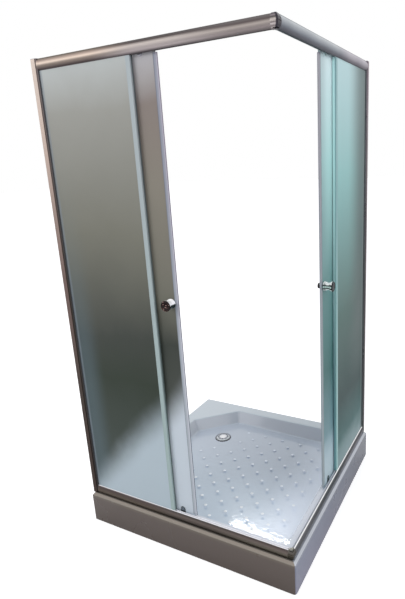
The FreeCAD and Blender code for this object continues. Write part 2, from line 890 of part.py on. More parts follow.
def knobs():
    outer = turned_knob(knob_out, knob_r, knob_foot_r)
    stud = rod(knob_stud_r, V(-glass - 7, 0, 0), V(1, 0, 0))
    outer = joined([outer, stud])
    inner = turned_knob(knob_in, knob_in_r, knob_foot_r)
    inner = inner.cut(rod(knob_stud_r, V(-1, 0, 0), V(7, 0, 0)))
    outer.rotate(V(0, 0, 0), V(0, 0, 1), -90)
    outer.translate(V(knob_from_edge, door_w, knob_height))
    inner.rotate(V(0, 0, 0), V(0, 0, 1), 90)
    inner.translate(V(knob_from_edge, door_w + glass, knob_height))
    return outer, inner


def wheel():
    # grooved roller about the w axis, centred on the origin
    side_w = wheel_width / 2
    flat = groove_width / 2
    points = [
        V(0, -side_w, axle_r + bore_clear),
        V(0, -side_w, wheel_r),
        V(0, -flat, groove_r),
        V(0, flat, groove_r),
        V(0, side_w, wheel_r),
        V(0, side_w, axle_r + bore_clear),
    ]
    face = Part.Face(Part.makePolygon(points + [points[0]]))
    return face.revolve(V(0, 0, 0), V(0, 1, 0), 360)


def wheel_places():
    return frame_top - wheel_h, tray_height + wheel_h


def axle(z):
    inner = track_centre_w - wheel_width / 2 - 0.8
    pin = rod(axle_r, V(0, inner, z), V(0, arm_w + 0.5, z))
    rivet = rod(axle_end_r, V(0, inner - 0.8, z), V(0, inner + 0.6, z))
    return pin.fuse(rivet)


def arm(z_wheel, z_end, width):
    # flat arm on the room side of the track, round about the wheel's axis
    end = rod(width / 2, V(0, arm_w, z_wheel), V(0, arm_w + arm_thick, z_wheel))
    low, high = sorted((z_wheel, z_end))
    return end.fuse(box(-width / 2, width / 2, arm_w, arm_w + arm_thick, low, high))


def spigot(z):
    return rod(spigot_r, V(0, door_w, z), V(0, door_w + glass + 1, z))


def top_hanger():
    hole_z, wheel_z = hole_heights()[0], wheel_places()[0]
    inner_w = door_w + glass
    top = frame_top - track_h - rail_wall - 1.7
    low = hole_z - 11
    pad = box(-11, 11, inner_w, inner_w + 4, low, top)
    bridge = box(-7, 7, inner_w, arm_w + arm_thick, low + 3, top)
    corners = [e for e in bridge.Edges if e.BoundBox.ZMax < low + 3.1 and e.BoundBox.YMin > arm_w]
    bridge = bridge.makeFillet(3.0, corners)
    return joined([pad, bridge, arm(wheel_z, low + 8, top_arm_width), axle(wheel_z), spigot(hole_z)])


def bottom_housing():
    hole_z = hole_heights()[1]
    inner_w = door_w + glass
    low, high = hole_z - 13, hole_z + 11
    pad = box(-11, 11, inner_w, inner_w + 3, low, high)
    block = box(-9, 9, inner_w, arm_w - 0.3, low + 3, high - 1)
    round_edges = [e for e in block.Edges if e.BoundBox.ZMin > high - 1.1 and abs(e.BoundBox.YLength) > 5]
    block = block.makeFillet(4.0, round_edges)
    body = joined([pad, block, spigot(hole_z)])
    narrow = box(-3.4, 3.4, arm_w - 4, arm_w, low, high + 1)
    wide = box(-5.4, 5.4, arm_w - 7.2, arm_w - 2.6, low, high + 1)
    return body.cut(narrow).cut(wide)


def release_slider():
    # spring-loaded: pressing the button lowers the wheel clear of the rib, so the door can swing in
    hole_z, wheel_z = hole_heights()[1], wheel_places()[1]
    button_low = hole_z + 11 + release_travel + 0.8
    tongue = box(-3, 3, arm_w - 3, arm_w, hole_z - 7, hole_z + 8)
    head = box(-5, 5, arm_w - 6.8, arm_w - 3, hole_z - 7, hole_z + 8)
    button = box(-8, 8, door_w + glass + 4, arm_w + arm_thick, button_low, button_low + 4)
    button = button.makeFillet(1.2, [e for e in button.Edges if e.BoundBox.ZMin > button_low + 3.9])
    stem = arm(wheel_z, button_low + 1, release_arm_width)
    return joined([stem, tongue, head, button, axle(wheel_z)])


def roller_caps():
    # clamp caps on the outer face of the glass: round-topped at the bottom, shorter ones under the top rail
    caps = []
    w0 = door_w - cap_thick
    radius = cap_width / 2
    top_z, bottom_z = hole_heights()
    for u in roller_places():
        tall = rod(radius, V(u, w0, bottom_z + 1), V(u, door_w, bottom_z + 1))
        tall = tall.fuse(box(u - radius, u + radius, w0, door_w, bottom_z - 14, bottom_z + 1))
        caps.append(tall.removeSplitter())
        short = rod(radius, V(u, w0, top_z), V(u, door_w, top_z))
        short = short.common(box(u - radius, u + radius, w0, door_w, top_z - radius, frame_top - door_low))
        caps.append(short)
    return caps


def moved(shape, u):
    shifted = shape.copy()
    shifted.translate(V(u, 0, 0))
    return shifted


def save_door(side, open_u):
    place = sides[side]

    def put(shape, u=0.0):
        return place(moved(shape, open_u + u))

    save(side + "_door_glass", put(door_glass()))
    save(side + "_magnet_seal", put(magnet_seal()))
    save(side + "_rear_seal", put(rear_seal()))
    outer, inner = knobs()
    save(side + "_outer_knob", put(outer))
    save(side + "_inner_knob", put(inner))
    save(side + "_top_hangers", *[put(top_hanger(), u) for u in roller_places()])
    save(side + "_bottom_housings", *[put(bottom_housing(), u) for u in roller_places()])
    save(side + "_roller_caps", *[put(cap) for cap in roller_caps()])
    for name, u in zip(("lead", "trail"), roller_places()):
        save(side + "_release_" + name, put(release_slider(), u))
        for level, z in zip(("top", "bottom"), wheel_places()):
            roller = wheel()
            roller.translate(V(0, track_centre_w, z))
            save(side + "_" + level + "_wheel_" + name, put(roller, u))


def main():
    os.makedirs("parts", exist_ok=True)
    save("tray_shell", tray_shell())
    save("tray_base_board", base_board())
    save("tray_apron", apron())
    save("apron_clips", *apron_clips())
    save("tray_support_bars", *support_bars())
    studs, nuts, pads = feet()
    save("foot_studs", *studs)
    save("foot_nuts", *nuts)
    save("foot_pads", *pads)
    save("waste_trap", waste_trap())
    save("waste_gasket", waste_gasket())
    save("waste_flange", waste_flange())
    save("waste_cover", waste_cover())

    extrusion = rail()
    save_sides("bottom_rail", as_bottom(extrusion))
    save_sides("top_rail", as_top(extrusion))
    save("bottom_corner_joint", place_right(as_bottom(corner_joint(0.0))))
    save("top_corner_joint", place_right(as_top(corner_joint(joint_cap))))
    save_sides("wall_channel", wall_channel())
    save_sides("side_profile", side_profile())
    save("channel_caps", *[place(channel_cap()) for place in sides.values()])
    save("frame_screws", *frame_screws())
    save("rail_bump_stops", *bump_stops())
    save_sides("fixed_glass", fixed_glass())
    save_sides("glazing_gaskets", *glazing_gaskets())
    save_sides("fixed_seal", fixed_seal())
    save_door("front", front_open_u)
    save_door("right", right_open_u)


main()
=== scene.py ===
import bpy
import numpy as np
from mathutils import Matrix, Vector


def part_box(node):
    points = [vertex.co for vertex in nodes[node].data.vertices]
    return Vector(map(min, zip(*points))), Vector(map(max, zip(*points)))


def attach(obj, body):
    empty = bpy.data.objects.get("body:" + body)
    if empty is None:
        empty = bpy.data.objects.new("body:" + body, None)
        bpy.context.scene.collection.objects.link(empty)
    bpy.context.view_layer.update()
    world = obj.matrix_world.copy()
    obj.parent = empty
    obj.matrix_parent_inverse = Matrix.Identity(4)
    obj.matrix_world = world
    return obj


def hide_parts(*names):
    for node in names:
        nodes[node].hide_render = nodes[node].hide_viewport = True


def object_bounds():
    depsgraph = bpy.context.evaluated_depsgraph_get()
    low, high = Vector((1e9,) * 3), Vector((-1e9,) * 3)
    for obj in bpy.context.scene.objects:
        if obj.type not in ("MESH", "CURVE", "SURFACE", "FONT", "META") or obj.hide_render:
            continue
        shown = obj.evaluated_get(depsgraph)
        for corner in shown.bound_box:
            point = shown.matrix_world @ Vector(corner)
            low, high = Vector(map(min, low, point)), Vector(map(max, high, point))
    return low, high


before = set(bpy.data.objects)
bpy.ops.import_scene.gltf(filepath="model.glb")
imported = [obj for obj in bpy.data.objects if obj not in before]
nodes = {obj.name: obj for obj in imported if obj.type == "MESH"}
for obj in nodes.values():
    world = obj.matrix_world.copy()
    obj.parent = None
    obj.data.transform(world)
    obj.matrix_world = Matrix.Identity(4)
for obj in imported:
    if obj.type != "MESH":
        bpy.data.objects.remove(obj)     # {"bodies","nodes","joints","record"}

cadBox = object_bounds()
trayLow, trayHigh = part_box("tray_shell")
sides = ("front", "right")
print("frame loaded,", len(nodes), "nodes")


# a screen colour, 0 to 255, as the linear colour a socket takes
def paint(red, green, blue):
    return tuple(((c / 255 + 0.055) / 1.055) ** 2.4 for c in (red, green, blue)) + (1.0,)


def addNode(tree, kind, inputs=None, **settings):
    node = tree.nodes.new(kind)
    for name, value in settings.items():
        setattr(node, name, value)
    for name, value in (inputs or {}).items():
        if isinstance(value, bpy.types.NodeSocket):
            tree.links.new(value, node.inputs[name])
        else:
            node.inputs[name].default_value = value
    return node


def mathNode(tree, operation, first, second=0.0):
    return addNode(tree, "ShaderNodeMath", {0: first, 1: second}, operation=operation).outputs[0]


# 0 at start, 1 at end, held outside
def fade(tree, value, start, end, kind="LINEAR"):
    inputs = {"Value": value, "From Min": start, "From Max": end}
    return addNode(tree, "ShaderNodeMapRange", inputs, interpolation_type=kind).outputs["Result"]


def softFade(tree, value, start, end):
    return fade(tree, value, start, end, "SMOOTHSTEP")


def mixColor(tree, mask, first, second):
    return addNode(tree, "ShaderNodeMix", {0: mask, 6: first, 7: second}, data_type="RGBA").outputs[2]


# lays a screen colour over a colour where the mask is 1
def tint(tree, mask, color, tone):
    return mixColor(tree, mask, color, paint(*tone))


# stops are pairs of a place from 0 to 1 and a screen colour
def rampColor(tree, factor, stops):
    node = addNode(tree, "ShaderNodeValToRGB", {"Fac": factor})
    elements = node.color_ramp.elements
    while len(elements) < len(stops):
        elements.new(0.5)
    for element, (position, color) in zip(elements, stops):
        element.position = position
        element.color = paint(*color)
    return node.outputs["Color"]


def objectPlace(tree):
    return addNode(tree, "ShaderNodeTexCoord").outputs["Object"]


def splitAxes(tree, vector):
    return addNode(tree, "ShaderNodeSeparateXYZ", {0: vector}).outputs


# how far the surface faces up, from -1 to 1
def facingUp(tree):
    return splitAxes(tree, addNode(tree, "ShaderNodeNewGeometry").outputs["Normal"])[2]


# the root of the sum of two squares
def distance(tree, first, second):
    squares = [mathNode(tree, "MULTIPLY", value, value) for value in (first, second)]
    return mathNode(tree, "SQRT", mathNode(tree, "ADD", *squares))


def newGroup(name, inputs, outputs):
    group = bpy.data.node_groups.new(name, "ShaderNodeTree")
    for socketName, kind, value in inputs:
        group.interface.new_socket(socketName, in_out="INPUT", socket_type=kind).default_value = value
    for socketName in outputs:
        group.interface.new_socket(socketName, in_out="OUTPUT", socket_type="NodeSocketFloat")
    return group, addNode(group, "NodeGroupInput").outputs, addNode(group, "NodeGroupOutput").inputs


# where a point lies on its side: along from the entry corner, inward from the tray's edge, and height
def makeSidePlaces(side):
    group, given, result = newGroup(side + "Places", [], ["Along", "Inward", "Height"])
    x, y, z = splitAxes(group, objectPlace(group))
    fromCorner = mathNode(group, "SUBTRACT", trayHigh.x, x)
    fromEdge = mathNode(group, "SUBTRACT", y, trayLow.y)
    along, inward = (fromCorner, fromEdge) if side == "front" else (fromEdge, fromCorner)
    for name, value in (("Along", along), ("Inward", inward), ("Height", z)):
        group.links.new(value, result[name])
    return group


# fine grain for bump and large soft smudges for roughness and colour
def makeSurfaceLife():
    sockets = [("Grain Scale", "NodeSocketFloat", 800.0), ("Smudge Scale", "NodeSocketFloat", 6.0)]
    group, given, result = newGroup("surfaceLife", sockets, ["Grain", "Smudge"])
    place = objectPlace(group)
    grain = {"Vector": place, "Scale": given["Grain Scale"], "Detail": 3.0, "Roughness": 0.6}
    smudge = {"Vector": place, "Scale": given["Smudge Scale"], "Detail": 4.0, "Distortion": 0.4}
    for name, inputs in (("Grain", grain), ("Smudge", smudge)):
        group.links.new(addNode(group, "ShaderNodeTexNoise", inputs).outputs["Fac"], result[name])
    return group


# fine lines drawn along one axis, as an extruder's die leaves them
def makeDieLines():
    group, given, result = newGroup("dieLines", [("Stretch", "NodeSocketVector", (1.0, 1.0, 1.0))], ["Lines"])
    pulled = addNode(group, "ShaderNodeMapping", {"Vector": objectPlace(group), "Scale": given["Stretch"]})
    lines = addNode(group, "ShaderNodeTexNoise", {"Vector": pulled.outputs[0], "Scale": 1.0, "Detail": 2.0})
    group.links.new(lines.outputs["Fac"], result["Lines"])
    return group


sidePlaces = {side: makeSidePlaces(side) for side in sides}
surfaceLife = makeSurfaceLife()
dieLines = makeDieLines()


def groupOutputs(tree, group, inputs=None):
    return addNode(tree, "ShaderNodeGroup", inputs, node_tree=group).outputs


# 0 on the front and 1 on the right, turning where a point is as far inward from both
def turnsRight(tree, start, end):
    front, right = (groupOutputs(tree, sidePlaces[side])["Inward"] for side in sides)
    return fade(tree, mathNode(tree, "SUBTRACT", front, right), start, end)


# where a box begins and ends on its side, in the coordinates of makeSidePlaces
def sideEnds(side, low, high):
    fromCorner = trayHigh.x - high.x, trayHigh.x - low.x
    fromEdge = low.y - trayLow.y, high.y - trayLow.y
    along, inward = (fromCorner, fromEdge) if side == "front" else (fromEdge, fromCorner)
    return {"Along": along, "Inward": inward}


lifeLook = {"grainHeight": 0.0006, "darker": 0.86, "smudgeRange": (0.3, 0.7)}


# a material from its colour, or from the function that builds it, with grain as bump and smudges as gloss
def finishMaterial(name, color=None, build=None, rough=(0.3, 0.4), grain=(800.0, 0.05), smudge=6.0,
                   **values):
    material = bpy.data.materials.new(name)
    material.use_nodes = True
    tree = material.node_tree
    shader = tree.nodes["Principled BSDF"]
    for socketName, value in values.items():
        shader.inputs[socketName.replace("_", " ")].default_value = value
    grainScale, grainStrength = grain
    life = groupOutputs(tree, surfaceLife, {"Grain Scale": grainScale, "Smudge Scale": smudge})
    if build:
        socket = build(tree)
    else:
        darker = [c * lifeLook["darker"] for c in color]
        socket = tint(tree, life["Smudge"], paint(*darker), color)
    tree.links.new(socket, shader.inputs["Base Color"])
    gloss = fade(tree, life["Smudge"], *lifeLook["smudgeRange"])
    for socketName, value in zip(("To Min", "To Max"), rough):
        gloss.node.inputs[socketName].default_value = value
    tree.links.new(gloss, shader.inputs["Roughness"])
    relief = {"Height": life["Grain"], "Strength": grainStrength, "Distance": lifeLook["grainHeight"]}
    tree.links.new(addNode(tree, "ShaderNodeBump", relief).outputs["Normal"], shader.inputs["Normal"])
    return material


def dress(material, *names):
    for name in names:
        nodes[name].data.materials.clear()
        nodes[name].data.materials.append(material)


dieLook = {"across": 900.0, "along": 4.0}


# adds the die's lines, which run along the given axis, to a material's grain
def addDieLines(material, axis):
    tree = material.node_tree
    stretch = [dieLook["across"]] * 3
    stretch[axis] = dieLook["along"]
    lines = groupOutputs(tree, dieLines, {"Stretch": stretch})["Lines"]
    height = tree.nodes["Bump"].inputs["Height"]
    tree.links.new(mathNode(tree, "ADD", height.links[0].from_socket, lines), height)


# rails: painted reflection in bands up the bowed face, from the entry corner towards the wall. On the bottom
# rails the edge tone is a painted highlight along the inner edge, which also lightens the groove against its
# shade
railLooks = {
    "front_top_rail": {
        "corner": [(0.0, (95, 90, 90)), (0.2, (145, 135, 135)), (0.5, (175, 165, 160)), (0.7, (95, 85, 85)),
                   (1.0, (115, 110, 110))],
        "middle": [(0.0, (60, 55, 60)), (0.2, (180, 170, 170)), (0.6, (200, 190, 185)), (0.8, (80, 70, 70)),
                   (1.0, (95, 90, 90))],
        "wall": [(0.1, (80, 70, 70)), (0.38, (165, 150, 140)), (0.53, (240, 220, 205)),
                 (0.75, (170, 150, 140)), (0.92, (110, 100, 90))],
        "edge": (95, 90, 90), "edgeFrom": 0.019, "inside": (95, 90, 90), "insideFrom": 0.05,
    },
    "right_top_rail": {
        "corner": [(0.0, (55, 60, 70)), (0.1, (95, 95, 105)), (0.35, (120, 125, 135)), (0.9, (185, 190, 195)),
                   (1.0, (140, 145, 150))],
        "wall": [(0.0, (65, 65, 75)), (0.12, (110, 105, 115)), (0.45, (150, 145, 155)),
                 (0.85, (180, 175, 185)), (1.0, (140, 135, 145))],
        "edge": (120, 130, 135), "edgeFrom": 0.019, "inside": (120, 130, 135), "insideFrom": 0.05,
    },
    "front_bottom_rail": {
        "corner": [(0.0, (45, 40, 30)), (0.45, (100, 95, 85)), (0.7, (110, 100, 95)), (0.95, (70, 60, 60)),
                   (1.0, (225, 225, 225))],
        "middle": [(0.2, (45, 40, 35)), (0.7, (105, 95, 90)), (0.95, (70, 65, 65)), (1.0, (225, 225, 225))],
        "wall": [(0.0, (50, 45, 40)), (0.2, (80, 70, 60)), (0.5, (95, 85, 75)), (0.9, (80, 70, 70)),
                 (1.0, (195, 190, 190))],
        "edge": (245, 245, 250), "edgeFrom": 0.0176, "inside": (205, 210, 220), "insideFrom": 0.028,
    },
    "right_bottom_rail": {
        "corner": [(0.0, (55, 55, 60)), (0.25, (90, 90, 100)), (0.5, (75, 75, 80)), (0.95, (110, 110, 115)),
                   (1.0, (255, 255, 255))],
        "middle": [(0.0, (50, 50, 60)), (0.2, (110, 115, 120)), (0.6, (60, 65, 70)), (0.95, (80, 85, 90)),
                   (1.0, (255, 255, 255))],
        "wall": [(0.0, (70, 70, 75)), (0.2, (140, 135, 145)), (0.65, (80, 80, 85)), (0.85, (65, 65, 70)),
                 (1.0, (190, 195, 200))],
        "edge": (255, 255, 255), "edgeFrom": 0.0158, "inside": (205, 210, 220), "insideFrom": 0.024,
    },
}
railFades = {"middle": (0.12, 0.42), "wall": (0.5, 0.74)}
railShared = {"edgeSoft": 0.0004, "insideSoft": 0.001, "metallic": 0.85}


def railMaterial(name, look):
    side = name.split("_")[0]
    low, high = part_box(name)
    edgeStart, edgeEnd = look["edgeFrom"] - railShared["edgeSoft"], look["edgeFrom"] + railShared["edgeSoft"]

    def build(tree):
        places = groupOutputs(tree, sidePlaces[side])
        height = fade(tree, places["Height"], low.z, high.z)
        face = rampColor(tree, height, look["corner"])
        for part in [part for part in railFades if part in look]:
            there = softFade(tree, places["Along"], *railFades[part])
            face = mixColor(tree, there, face, rampColor(tree, height, look[part]))
        face = tint(tree, fade(tree, places["Inward"], edgeStart, edgeEnd), face, look["edge"])
        insideFrom = look["insideFrom"]
        inside = fade(tree, places["Inward"], insideFrom, insideFrom + railShared["insideSoft"])
        return tint(tree, inside, face, look["inside"])

    material = finishMaterial(name, build=build, rough=(0.3, 0.42), grain=(1400.0, 0.02), smudge=9.0)
    tree = material.node_tree
    onFace = fade(tree, groupOutputs(tree, sidePlaces[side])["Inward"], edgeEnd, edgeStart)
    metal = mathNode(tree, "MULTIPLY", onFace, railShared["metallic"])
    tree.links.new(metal, tree.nodes["Principled BSDF"].inputs["Metallic"])
    addDieLines(material, sides.index(side))
    return material


for railName, railLook in railLooks.items():
    dress(railMaterial(railName, railLook), railName)
print("rails painted")


# uprights at the walls: painted reflection, brightest at the top, darker towards the tray
uprightLooks = {
    "front_wall_channel": [(0.0, (60, 45, 40)), (0.3, (70, 60, 55)), (0.55, (125, 105, 100)),
                           (0.8, (195, 175, 165)), (1.0, (220, 205, 195))],
    "front_side_profile": [(0.0, (45, 40, 40)), (0.5, (65, 60, 55)), (1.0, (120, 110, 110))],
    "right_wall_channel": [(0.0, (50, 45, 50)), (0.4, (75, 65, 70)), (0.75, (110, 100, 105)),
                           (1.0, (135, 120, 130))],
    "right_side_profile": [(0.0, (110, 120, 120)), (0.5, (125, 130, 130)), (1.0, (160, 155, 165))],
}


def uprightMaterial(name, stops):
    def build(tree):
        height = splitAxes(tree, objectPlace(tree))[2]
        return rampColor(tree, fade(tree, height, trayHigh.z, cadBox[1].z), stops)

    material = finishMaterial(name, build=build, rough=(0.25, 0.38), Metallic=0.8)
    addDieLines(material, 2)
    return material


for uprightName, uprightLook in uprightLooks.items():
    dress(uprightMaterial(uprightName, uprightLook), uprightName)
print("uprights painted")


# frosted panes: painted reflection, pale at the top and darkest below the middle, and a painted view of the
# tray, pale again where it shows through. "far" and "near" are patches of the same painted reflection, each
# with its share and its reach along and in height, and footLine is the height that the paleness reaches at
# one place along, and its slope
paneLooks = {
    "front_fixed_glass": {
        "shade": [(0.15, (60, 70, 65)), (0.32, (45, 55, 45)), (0.42, (60, 65, 60)), (0.65, (120, 120, 110)),
                  (0.9, (155, 155, 150)), (1.0, (185, 190, 190))],
        "foot": (180, 195, 205), "footLine": (0.615, 0.575, -1.0), "footSoft": 0.11,
        "far": (95, 115, 125), "farPart": 0.45, "farAlong": (0.84, 0.94), "farHeights": (1.7, 0.6),
        "wallStrip": (130, 140, 150), "wallStripFrom": 0.957,
    },
    "front_door_glass": {
        "shade": [(0.25, (75, 80, 75)), (0.41, (55, 60, 55)), (0.52, (110, 110, 100)),
                  (0.75, (135, 130, 120)), (0.9, (135, 125, 120)), (1.0, (190, 190, 195))],
        "foot": (200, 210, 220), "footLine": (0.6, 0.575, -1.0), "footSoft": 0.1,
        "far": (90, 100, 105), "farPart": 0.3, "farAlong": (0.9, 0.98), "farHeights": (1.7, 0.6),
        "wallStrip": (110, 110, 105), "wallStripFrom": 0.97,
    },
    "right_fixed_glass": {
        "shade": [(0.0, (145, 170, 175)), (0.07, (50, 100, 100)), (0.18, (20, 60, 60)),
                  (0.42, (85, 115, 110)), (0.75, (150, 200, 200)), (1.0, (195, 225, 230))],
        "foot": (140, 165, 170), "footLine": (0.25, 0.575, -0.2), "footSoft": 0.06,
        "far": (90, 105, 105), "farPart": 0.84, "farAlong": (0.7, 0.92), "farHeights": (0.4, 0.8),
        "wallStrip": (120, 130, 130), "wallStripFrom": 0.94,
    },
    "right_door_glass": {
        "shade": [(0.0, (215, 235, 250)), (0.12, (120, 155, 165)), (0.3, (70, 115, 115)),
                  (0.5, (100, 145, 145)), (0.78, (180, 225, 225)), (1.0, (225, 245, 250))],
        "foot": (190, 210, 220), "footLine": (0.3, 0.575, -0.2), "footSoft": 0.1,
        "far": (100, 110, 110), "farPart": 0.2, "farAlong": (0.9, 1.0), "farHeights": (0.4, 0.8),
        "near": (105, 135, 140), "nearPart": 0.38, "nearAlong": (0.51, 0.42), "nearHeights": (1.05, 1.3),
        "wallStrip": (120, 140, 145), "wallStripFrom": 0.97,
    },
}
paneShared = {"shadeHeights": (0.17, 1.95), "swayScale": 3.0, "sway": 0.14, "stripSoft": 0.006,
              "stripPart": 0.55}


def paneMaterial(name, look):
    side = name.split("_")[0]

    def build(tree):
        places = groupOutputs(tree, sidePlaces[side])
        along, height = places["Along"], places["Height"]
        life = groupOutputs(tree, surfaceLife, {"Smudge Scale": paneShared["swayScale"]})
        sway = mathNode(tree, "MULTIPLY", mathNode(tree, "SUBTRACT", life["Smudge"], 0.5), paneShared["sway"])
        wavy = mathNode(tree, "ADD", height, sway)
        shade = rampColor(tree, fade(tree, wavy, *paneShared["shadeHeights"]), look["shade"])
        for patch in [patch for patch in ("far", "near") if patch in look]:
            across, upwards = (softFade(tree, value, *look[patch + key])
                               for key, value in (("Along", along), ("Heights", height)))
            there = mathNode(tree, "MULTIPLY", across, upwards)
            shade = tint(tree, mathNode(tree, "MULTIPLY", there, look[patch + "Part"]), shade, look[patch])
        footHeight, footAlong, footSlope = look["footLine"]
        slope = mathNode(tree, "MULTIPLY", mathNode(tree, "SUBTRACT", along, footAlong), footSlope)
        aboveFoot = mathNode(tree, "SUBTRACT", mathNode(tree, "SUBTRACT", wavy, slope), footHeight)
        inFoot = softFade(tree, aboveFoot, look["footSoft"], -look["footSoft"])
        shade = tint(tree, inFoot, shade, look["foot"])
        stripFrom = look["wallStripFrom"]
        strip = fade(tree, along, stripFrom, stripFrom + paneShared["stripSoft"])
        stripShare = mathNode(tree, "MULTIPLY", strip, paneShared["stripPart"])
        return tint(tree, stripShare, shade, look["wallStrip"])

    return finishMaterial(name, build=build, rough=(0.38, 0.5), grain=(1100.0, 0.25), smudge=3.0,
                          Transmission_Weight=0.15, IOR=1.46, Specular_IOR_Level=0.25)


for paneName, paneLook in paneLooks.items():
    dress(paneMaterial(paneName, paneLook), paneName)
print("panes frosted")


# acrylic tray: cool inside, with painted shade towards the back and painted light beside the right wall; each
# outer edge in a painted reflection of its side, with a painted highlight on the bevel, and a painted shadow
# line in front of the rails
trayLook = {
    "floor": (200, 215, 230), "floorBack": (190, 200, 215), "backReach": (0.15, 0.75),
    "floorRight": (225, 235, 250), "rightReach": (0.34, 0.1),
    "wall": (200, 205, 215), "floorFacing": (0.5, 0.95),
    "rim": (200, 210, 220), "rimBelowTop": (0.006, 0.001), "edgeBelowTop": (0.0012, 0.0004),
    "front": {"lip": (120, 115, 105), "bevel": (135, 125, 115), "rim": (110, 105, 100), "line": (55, 50, 45)},
    "right": {"lip": (135, 140, 155), "bevel": (190, 195, 205), "rim": (150, 155, 165), "line": (70, 70, 80)},
    "bevelReach": (0.0003, 0.0012), "rimReach": (0.0098, 0.0108), "lineReach": (0.0145, 0.0175),
    "outerReach": (0.0104, 0.01), "lineEnd": (0.045, 0.044), "turnsAt": 0.0008,
    "grainScale": 300.0, "grainStrength": 0.04, "rippleScale": 62.0, "rippleHeight": 0.00019,
}


# the painted tones of a side's outer edge, its reflection, bevel highlight and shadow line, and the share of
# the surface that they cover
def trayEdge(tree, inward, onTop, tones):
    edge = tint(tree, fade(tree, inward, *trayLook["bevelReach"]), paint(*tones["lip"]), tones["bevel"])
    for part in ("rim", "line"):
        edge = tint(tree, fade(tree, inward, *trayLook[part + "Reach"]), edge, tones[part])
    under = mathNode(tree, "MULTIPLY", onTop, fade(tree, inward, *trayLook["lineEnd"]))
    return edge, mathNode(tree, "MAXIMUM", fade(tree, inward, *trayLook["outerReach"]), under)


# a slow ripple over the normal of the grain
def rippleNormal(tree, grainNormal):
    inputs = {"Vector": objectPlace(tree), "Scale": trayLook["rippleScale"], "Detail": 2.0}
    swell = addNode(tree, "ShaderNodeTexNoise", inputs).outputs["Fac"]
    relief = {"Height": swell, "Strength": 1.0, "Distance": trayLook["rippleHeight"],
              "Normal": grainNormal}
    return addNode(tree, "ShaderNodeBump", relief).outputs["Normal"]


def trayMaterial():
    def build(tree):
        places = {side: groupOutputs(tree, sidePlaces[side]) for side in sides}
        height = places["front"]["Height"]
        towardsBack = softFade(tree, places["front"]["Inward"], *trayLook["backReach"])
        color = tint(tree, towardsBack, paint(*trayLook["floor"]), trayLook["floorBack"])
        besideRight = softFade(tree, places["right"]["Inward"], *trayLook["rightReach"])
        color = tint(tree, besideRight, color, trayLook["floorRight"])
        isFloor = softFade(tree, facingUp(tree), *trayLook["floorFacing"])
        color = mixColor(tree, isFloor, paint(*trayLook["wall"]), color)
        onRim, onTop = (fade(tree, height, *(trayHigh.z - depth for depth in trayLook[key]))
                        for key in ("rimBelowTop", "edgeBelowTop"))
        color = tint(tree, onRim, color, trayLook["rim"])
        isRight = turnsRight(tree, -trayLook["turnsAt"], trayLook["turnsAt"])
        isFront = mathNode(tree, "SUBTRACT", 1.0, isRight)
        for side, onSide in zip(sides, (isFront, isRight)):
            edge, reach = trayEdge(tree, places[side]["Inward"], onTop, trayLook[side])
            color = mixColor(tree, mathNode(tree, "MULTIPLY", reach, onSide), color, edge)
        return color

    grain = trayLook["grainScale"], trayLook["grainStrength"]
    material = finishMaterial("trayAcrylic", build=build, rough=(0.1, 0.2), grain=grain, smudge=4.0,
                              Coat_Weight=0.6, Coat_Roughness=0.03)
    tree = material.node_tree
    shader = tree.nodes["Principled BSDF"]
    tree.links.new(rippleNormal(tree, tree.nodes["Bump"].outputs["Normal"]), shader.inputs["Normal"])
    # the coat has the same grain and ripple, but its grain comes from a noise of its own
    inputs = {"Vector": objectPlace(tree), "Scale": grain[0], "Detail": 3.0, "Roughness": 0.6}
    coatGrain = addNode(tree, "ShaderNodeTexNoise", inputs).outputs["Fac"]
    relief = {"Height": coatGrain, "Strength": grain[1], "Distance": lifeLook["grainHeight"]}
    coatFine = addNode(tree, "ShaderNodeBump", relief).outputs["Normal"]
    tree.links.new(rippleNormal(tree, coatFine), shader.inputs["Coat Normal"])
    return material


dress(trayMaterial(), "tray_shell")

# apron: painted reflection, warm brown grey on the front with painted shade darker towards the floor, and
# blue grey on the right with painted shade darker towards the wall
apronLook = {
    "front": [(0.0, (75, 65, 60)), (0.9, (85, 75, 70)), (1.0, (100, 90, 80))],
    "right": [(0.0, (130, 130, 150)), (0.9, (120, 125, 145)), (1.0, (135, 140, 155))],
    "rightFar": (90, 95, 105), "farAlong": (0.1, 0.95), "farPart": 0.75, "turnsAt": 0.0015,
}


def apronMaterial():
    def build(tree):
        low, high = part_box("tray_apron")
        places = groupOutputs(tree, sidePlaces["right"])
        height = fade(tree, places["Height"], low.z, high.z)
        front, right = (rampColor(tree, height, apronLook[side]) for side in sides)
        farther = fade(tree, places["Along"], *apronLook["farAlong"])
        farShare = mathNode(tree, "MULTIPLY", farther, apronLook["farPart"])
        right = tint(tree, farShare, right, apronLook["rightFar"])
        return mixColor(tree, turnsRight(tree, -apronLook["turnsAt"], apronLook["turnsAt"]), front, right)

    return finishMaterial("apronPanel", build=build, rough=(0.22, 0.34), grain=(500.0, 0.05), smudge=5.0)


dress(apronMaterial(), "tray_apron")
print("tray finished")
